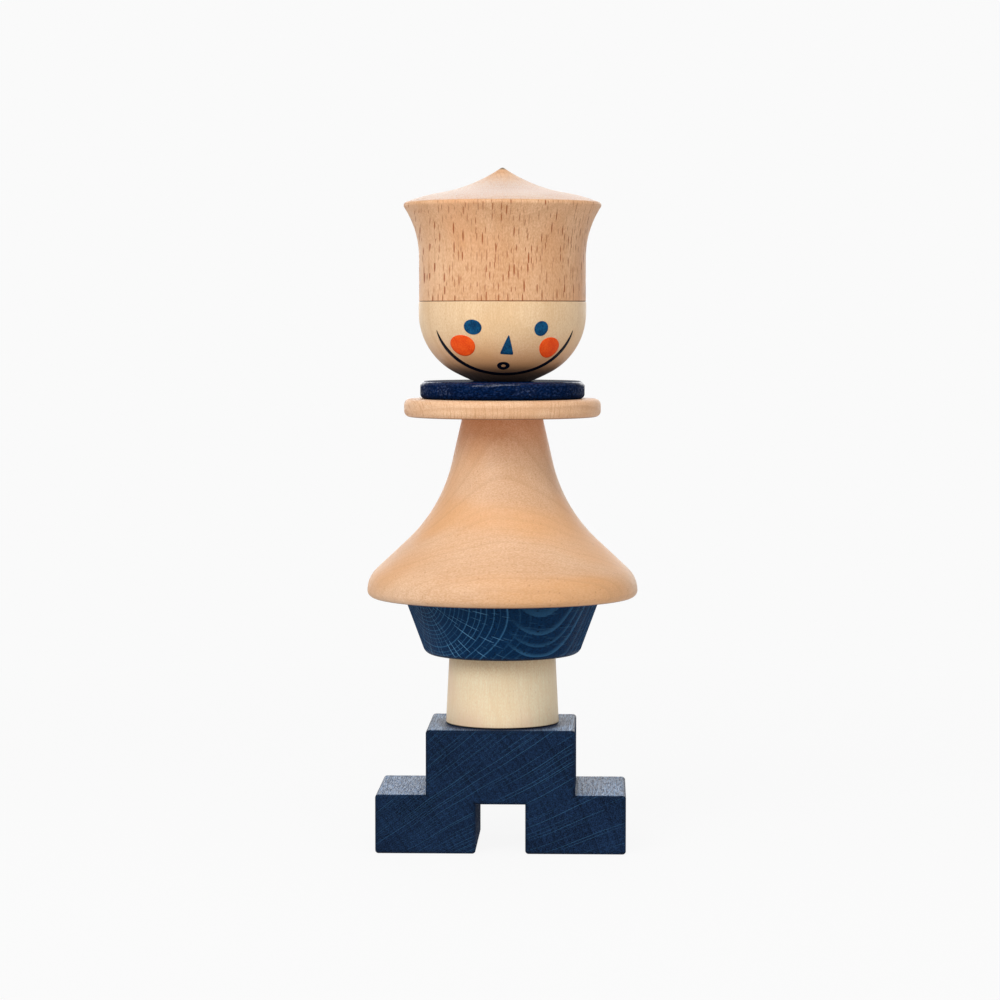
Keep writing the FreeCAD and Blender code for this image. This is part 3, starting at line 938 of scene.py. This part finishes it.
def ink(name, light, dark):
    """Printing ink: almost even, a little mottled by the grain under it, with a soft shine."""
    n = Nodes(bpy.data.materials.new(name))
    place = n.add("ShaderNodeTexCoord").outputs["Object"]
    grain = n.noise(n.vector_math("MULTIPLY", place, (5000, 5000, 2000)), 3.0)
    cloud = n.noise(place, 2.0, 600.0)
    mottle = n.math("ADD", n.times(grain, 0.6), n.times(cloud, 0.4))
    return n.finish(
        Base_Color=n.mix(n.step(mottle, 0.38, 0.62), light, dark),
        Roughness=n.between(grain, 0.35, 0.55),
        Specular_IOR_Level=0.1,
        Normal=n.bump(grain, 0.006),
    )


def print_face():
    at, radius = head_surface()
    blue = ink("ink_blue", srgb(12, 84, 128), srgb(2, 48, 84))
    orange = ink("ink_orange", srgb(255, 98, 30), srgb(240, 72, 18))
    navy = ink("ink_navy", srgb(6, 12, 34), srgb(2, 6, 18))
    print_round("left_eye", LEFT_EYE, blue, at, radius)
    print_round("right_eye", RIGHT_EYE, blue, at, radius)
    print_round("left_cheek", LEFT_CHEEK, orange, at, radius)
    print_round("right_cheek", RIGHT_CHEEK, orange, at, radius)
    print_round("mouth", MOUTH, navy, at, radius, hole=MOUTH_HOLE_SHARE)
    print_nose(blue, at)
    print_smile(navy, at, radius)


# ------------------------------------------------------------------------- floor, light and camera

# Sizes and distances here are in metres.
STUDIO_WHITE = srgb(250, 250, 250)
FLOOR_RADIUS, FLOOR_SIDES = 6.0, 128
FLOOR_NEAR, FLOOR_FAR = 0.05, 0.4  # between them, the floor melts into the backdrop
FLOOR_PAINT = 0.055
FLOOR_SHOWN_GLOW, FLOOR_GLOW = 0.95, 0.65  # as it looks near the figure, and as it lights the figure
ROOM_GLOW = 0.37
BACKDROP_GLOW = 2.4
BACKDROP_EDGE = (0.75, 0.95)  # the cosine of the angle from straight behind the figure
LAMP_SIZE, LAMP_DISTANCE = 0.5, 0.9
# Each lamp: its turn from the front towards the right and its rise, both in degrees, and its watts.
LAMPS = {"key": (-25, 35, 3.6), "top": (5, 62, 2.4), "left": (-85, 5, 0.9), "right": (35, 5, 1.0)}
CAMERA_AZIMUTH, CAMERA_PITCH_DOWN = math.radians(1.97), math.radians(3.5)
CAMERA_DISTANCE, CAMERA_HEIGHT, CAMERA_SIDEWAYS = 0.7323, 0.1294, -0.0006
CAMERA_SENSOR_MM, CAMERA_LENS_MM = 36, 108


def seen_by_camera(n, for_camera, otherwise):
    """One value for what the camera sees directly and another for the light thrown on the figure."""
    camera_ray = n.add("ShaderNodeLightPath").outputs["Is Camera Ray"]
    difference = n.math("MULTIPLY", camera_ray, n.math("SUBTRACT", for_camera, otherwise))
    return n.math("ADD", difference, otherwise)


def lay_floor():
    """A pale round floor that melts into the backdrop far from the figure."""
    mesh = bpy.data.meshes.new("floor")
    bm = bmesh.new()
    bmesh.ops.create_circle(bm, cap_ends=True, segments=FLOOR_SIDES, radius=FLOOR_RADIUS)
    bm.to_mesh(mesh)
    bm.free()
    floor = bpy.data.objects.new("floor", mesh)
    bpy.context.scene.collection.objects.link(floor)
    n = Nodes(bpy.data.materials.new("floor"))
    place = n.add("ShaderNodeTexCoord").outputs["Object"]
    far = n.step(n.vector_math("LENGTH", place), FLOOR_NEAR, FLOOR_FAR)
    strength = seen_by_camera(n, n.between(far, FLOOR_SHOWN_GLOW, 1.0), FLOOR_GLOW)
    glow = n.add("ShaderNodeEmission", {"Color": STUDIO_WHITE, "Strength": strength})
    paint = n.between(far, FLOOR_PAINT, 0.0)
    matt = n.add("ShaderNodeBsdfDiffuse", {"Color": n.combine(paint, paint, paint)})
    both = n.add("ShaderNodeAddShader", {0: glow.outputs[0], 1: matt.outputs[0]})
    n.add("ShaderNodeOutputMaterial", {"Surface": both.outputs[0]})
    mesh.materials.append(n.owner)


def light_room():
    """A dim even room with a bright backdrop behind the figure, which shows in glancing reflections."""
    world = bpy.data.worlds.new("studio")
    n = Nodes(world)
    direction = n.add("ShaderNodeTexCoord").outputs["Generated"]
    backdrop = n.step(n.vector_math("DOT_PRODUCT", direction, BACK), *BACKDROP_EDGE)
    thrown = n.math("ADD", n.math("MULTIPLY", backdrop, BACKDROP_GLOW), ROOM_GLOW)
    strength = seen_by_camera(n, 1.0, thrown)
    background = n.add("ShaderNodeBackground", {"Color": STUDIO_WHITE, "Strength": strength})
    n.add("ShaderNodeOutputWorld", {"Surface": background.outputs[0]})
    bpy.context.scene.world = world


def light_studio():
    """Four softboxes round the figure: the strongest high on the left, one above and one on each side."""
    low, high = cad_box
    middle = (low + high) / 2
    for name, (azimuth, rise, watts) in LAMPS.items():
        lamp = bpy.data.lights.new(name, "AREA")
        lamp.size = LAMP_SIZE
        lamp.energy = watts
        holder = bpy.data.objects.new(name, lamp)
        bpy.context.scene.collection.objects.link(holder)
        direction = Vector(around_axis(azimuth, math.tan(math.radians(rise)))).normalized()
        holder.location = middle + direction * LAMP_DISTANCE
        holder.rotation_euler = direction.to_track_quat("Z", "Y").to_euler()


def place_camera():
    """The photographer's place: almost straight ahead, a little to the right, at the height of the head."""
    camera = bpy.data.cameras.new("camera")
    camera.sensor_width = CAMERA_SENSOR_MM
    camera.lens = CAMERA_LENS_MM
    holder = bpy.data.objects.new("camera", camera)
    bpy.context.scene.collection.objects.link(holder)
    back = Vector((math.sin(CAMERA_AZIMUTH), -math.cos(CAMERA_AZIMUTH), 0))
    right = Vector((math.cos(CAMERA_AZIMUTH), math.sin(CAMERA_AZIMUTH), 0))
    level = Vector((0, 0, CAMERA_HEIGHT))
    holder.location = back * CAMERA_DISTANCE + right * CAMERA_SIDEWAYS + level
    holder.rotation_euler = (math.pi / 2 - CAMERA_PITCH_DOWN, 0, CAMERA_AZIMUTH)
    bpy.context.scene.camera = holder


dress_wood_and_magnets()
print_face()
lay_floor()
light_room()
light_studio()
place_camera()
bpy.context.scene.view_settings.view_transform = "Standard"
